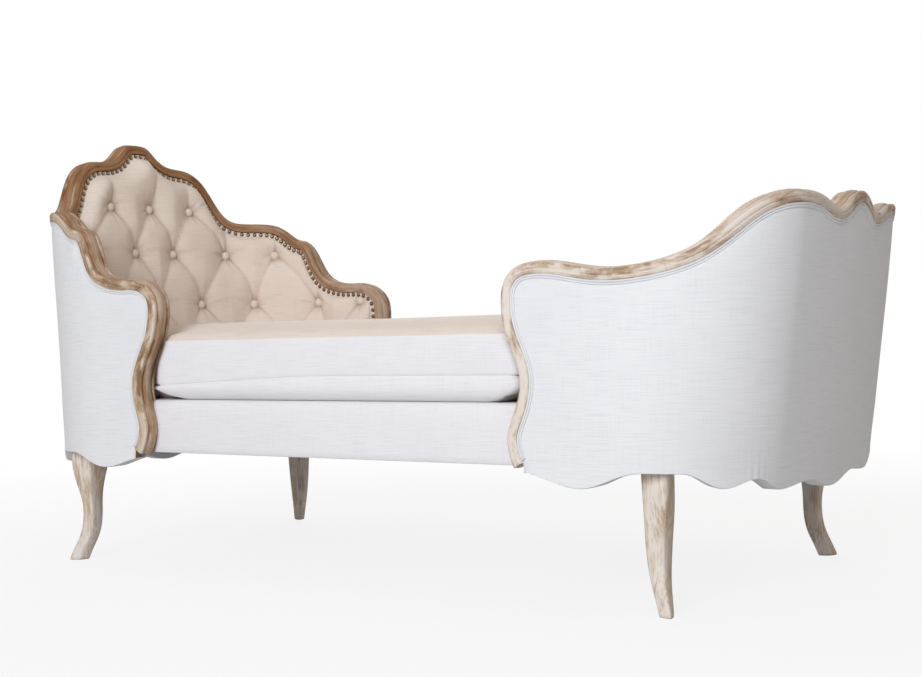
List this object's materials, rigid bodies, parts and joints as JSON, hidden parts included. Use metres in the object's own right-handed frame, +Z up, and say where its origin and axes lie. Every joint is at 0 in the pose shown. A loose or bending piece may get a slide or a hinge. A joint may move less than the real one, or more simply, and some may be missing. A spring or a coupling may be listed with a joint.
{
  "type": "recamier",
  "caption": "Double-ended upholstered recamier: tall tufted barrel head, lower barrel foot, limed show-wood rim, cabriole legs, open seat with a loose boxed cushion.",
  "frame": {"origin": "on the floor, under the middle of the object's bounding box", "axes": "+X along the seat towards the low foot end, +Y across the seat to the far side, +Z up"},
  "size_m": [1.936, 0.8682, 0.984],
  "materials": {
    "show_wood": "limed oak, matt, pale rubbed grain",
    "frame_wood": "planed beech, unfinished",
    "outside_linen": "plain woven linen, cool off-white",
    "inside_linen": "plain woven linen, warm beige",
    "cushion_linen": "plain woven linen, off-white",
    "padding": "bonded fibre and foam",
    "webbing": "jute webbing",
    "dust_cloth": "black dust cloth",
    "steel": "zinc plated",
    "nail_brass": "antiqued brass nails"
  },
  "bodies": {
    "frame": {"dust_cover": "dust_cloth", "foot_apron_back": "frame_wood", "foot_apron_far": "frame_wood", "foot_apron_near": "frame_wood", "foot_arm_rail_far": "show_wood", "foot_arm_rail_near": "show_wood", "foot_buttons": "inside_linen", "foot_crest_rail": "show_wood", "foot_cross_rail": "frame_wood", "foot_inside_back_pad": "inside_linen", "foot_inside_pad_far": "inside_linen", "foot_inside_pad_near": "inside_linen", "foot_leg_far": "show_wood", "foot_leg_near": "show_wood", "foot_outside_back": "outside_linen", "foot_outside_far": "outside_linen", "foot_outside_near": "outside_linen", "foot_post_far": "show_wood", "foot_post_near": "show_wood", "foot_shoulder_rail_far": "show_wood", "foot_shoulder_rail_near": "show_wood", "foot_stiles": "frame_wood", "head_apron_back": "frame_wood", "head_apron_far": "frame_wood", "head_apron_near": "frame_wood", "head_arm_rail_far": "show_wood", "head_arm_rail_near": "show_wood", "head_buttons": "inside_linen", "head_crest_rail": "show_wood", "head_cross_rail": "frame_wood", "head_inside_back_pad": "inside_linen", "head_inside_pad_far": "inside_linen", "head_inside_pad_near": "inside_linen", "head_leg_far": "show_wood", "head_leg_near": "show_wood", "head_outside_back": "outside_linen", "head_outside_far": "outside_linen", "head_outside_near": "outside_linen", "head_post_far": "show_wood", "head_post_near": "show_wood", "head_shoulder_rail_far": "show_wood", "head_shoulder_rail_near": "show_wood", "head_stiles": "frame_wood", "leg_blocks": "frame_wood", "leg_bolts": "steel", "seat_deck": "inside_linen", "seat_rail_cover_far": "outside_linen", "seat_rail_cover_near": "outside_linen", "seat_rail_far": "frame_wood", "seat_rail_near": "frame_wood", "seat_rail_padding_far": "padding", "seat_rail_padding_near": "padding", "seat_stretchers": "frame_wood", "seat_webbing_cross": "webbing", "seat_webbing_long": "webbing"},
    "seat_cushion": {"cushion_core": "padding", "cushion_cover": "cushion_linen"}
  },
  "joints": [
    {"name": "cushion_lift", "type": "slide", "parent": "frame", "child": "seat_cushion", "axis": [0, 0, 1], "range_m": [0, 0.65]}
  ]
}
